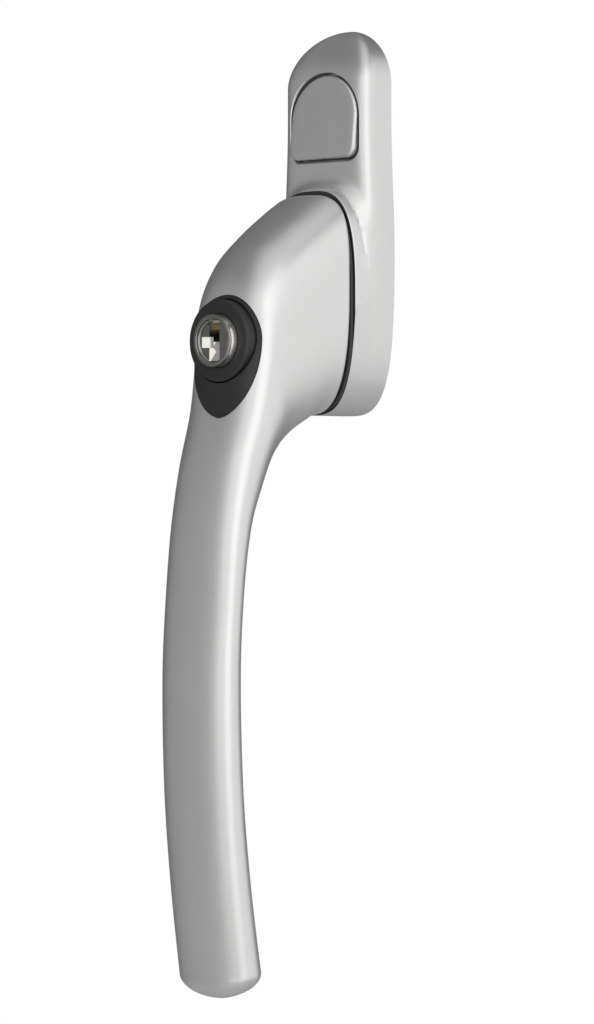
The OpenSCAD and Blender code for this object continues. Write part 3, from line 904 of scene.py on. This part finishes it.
def steel(name, shade):
    made, tree, shader = finish(name, {"Metallic": 1.0, "Specular IOR Level": 0.5})
    stain = noise(tree, place_on(tree), 520, 4, 0.6)
    colour = blend(tree, stain, (*(c * 0.72 for c in shade), 1), (*shade, 1))
    relief = bump(tree, stain, 0.12, 0.00003)
    feed(tree, shader, Base_Color=colour, Roughness=0.24 + stain * 0.2, Normal=relief)
    return made


dress(
    steel("oiled_steel", (0.50, 0.50, 0.51)),
    "strike_plate", "detent_balls", "detent_springs", "index_ring", "thrust_washer",
    "retaining_circlip", "spindle_pin", "lock_bolt", "button_spring", "plug_clip",
    "pawl_spring", "locking_pawl",
)
dress(zinc("lock_zinc", (0.56, 0.56, 0.56), (1, 1, 1)), "lock_housing", "button_base", "plug_cam")

# Wafers and their springs: stamped brass, painted near black as painted shade for the deep keyway, one
# edge of each showing in the keyway.

# The brass colour is darkened to near black: painted shade in the keyway.
dress(steel("wafer_brass_painted_shade", (0.15, 0.12, 0.07)), "plug_wafers", "wafer_springs")

# Studio: a plain pale floor, a broad soft light on the right, a wall of light further round it,
# weaker ones in front and on the left, and one overhead.

mesh = bmesh.new()
floor_radius, floor_height = 3, -0.6
bmesh.ops.create_circle(mesh, cap_ends=True, segments=96, radius=floor_radius)
bmesh.ops.translate(mesh, vec=(0, 0, floor_height), verts=mesh.verts)
floor = piece("floor", mesh)
floor_paint, tree, shader = finish("floor_paint", {"Specular IOR Level": 0.2})
cloud = noise(tree, place_on(tree), 2, 2, 0.5)
colour = blend(tree, cloud, (0.82, 0.82, 0.82, 1), (0.86, 0.86, 0.86, 1))
feed(tree, shader, Base_Color=colour, Roughness=0.7 + cloud * 0.1)
floor.data.materials.append(floor_paint)


lit_point = Vector((0, -0.02, -0.05))


def soft_light(name, azimuth, elevation, distance, wide, tall, power):
    """A rectangular area light aimed at the lever, at an azimuth counted as the camera's is."""
    a, e = math.radians(azimuth), math.radians(elevation)
    away = Vector((math.sin(a) * math.cos(e), -math.cos(a) * math.cos(e), math.sin(e)))
    data = bpy.data.lights.new(name, "AREA")
    data.shape, data.size, data.size_y = "RECTANGLE", wide, tall
    data.energy = power
    lamp = bpy.data.objects.new(name, data)
    lamp.location = lit_point + away * distance
    lamp.rotation_mode = "QUATERNION"
    lamp.rotation_quaternion = away.to_track_quat("Z", "Y")
    bpy.context.scene.collection.objects.link(lamp)


soft_light("key", 58, 6, 1.6, 2.5, 2.6, 31)
soft_light("right_wall", 128, 5, 1.6, 1.8, 2.6, 15.5)
soft_light("front", -3, 6, 1.8, 1.0, 2.2, 9)
soft_light("left_wall", -46, 8, 2.0, 1.9, 2.2, 3)
soft_light("top", 30, 72, 1.5, 2.0, 2.0, 9)

world = bpy.data.worlds.new("studio")
bpy.context.scene.world = world
world.use_nodes = True
tree = world.node_tree
seen = node(tree, "ShaderNodeLightPath", {}, {}).out("Is Camera Ray")
background = tree.nodes["Background"]
feed(tree, background, Color=blend(tree, seen, (0.13, 0.13, 0.13, 1), (1, 1, 1, 1)))
background.inputs["Strength"].default_value = 1.0
bpy.context.scene.view_settings.view_transform = "Standard"

camera_data = bpy.data.cameras.new("camera")
camera_data.sensor_width = 36
camera_data.lens = 167.695
camera = bpy.data.objects.new("camera", camera_data)
bpy.context.scene.collection.objects.link(camera)
around, far, eye_height, aim_left = math.radians(43), 0.9, -0.05, 10 * mm
camera.location = (far * math.sin(around), -far * math.cos(around), eye_height)
across = Vector((math.cos(around), math.sin(around), 0)) * -aim_left
gaze = across + Vector((0, 0, eye_height)) - camera.location
camera.rotation_mode = "QUATERNION"
camera.rotation_quaternion = gaze.to_track_quat("-Z", "Y")
bpy.context.scene.camera = camera
